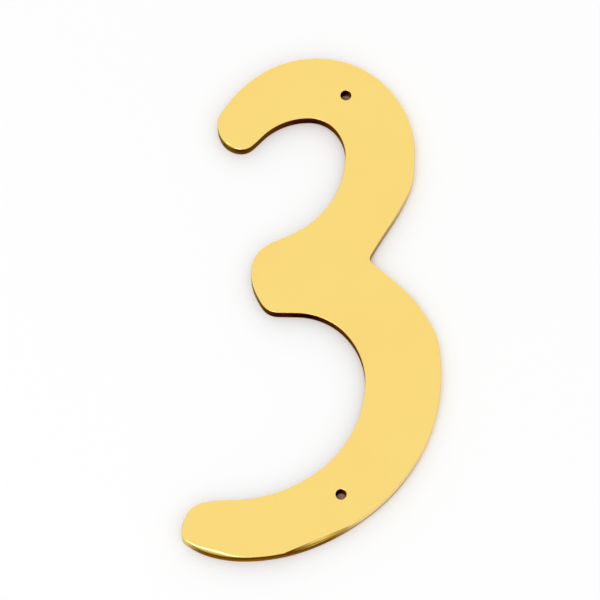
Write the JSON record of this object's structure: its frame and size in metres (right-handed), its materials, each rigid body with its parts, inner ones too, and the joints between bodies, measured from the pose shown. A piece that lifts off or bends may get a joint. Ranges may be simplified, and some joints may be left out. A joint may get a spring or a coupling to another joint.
{
  "type": "door number",
  "caption": "Flat brass door numeral, a rounded figure three with a polished face, softened front edges and a nail hole near its top and near its foot.",
  "frame": {"origin": "on the flat back, midway between the nail holes", "axes": "+Y up the numeral from the low nail hole to the top one, +Z out of the polished face, +X to the right as the numeral is read"},
  "size_m": [0.0606, 0.1272, 0.0032],
  "materials": {
    "polished_brass": "polished face, plainer cut edges and back"
  },
  "bodies": {
    "root": {"numeral": "polished_brass"}
  },
  "joints": []
}
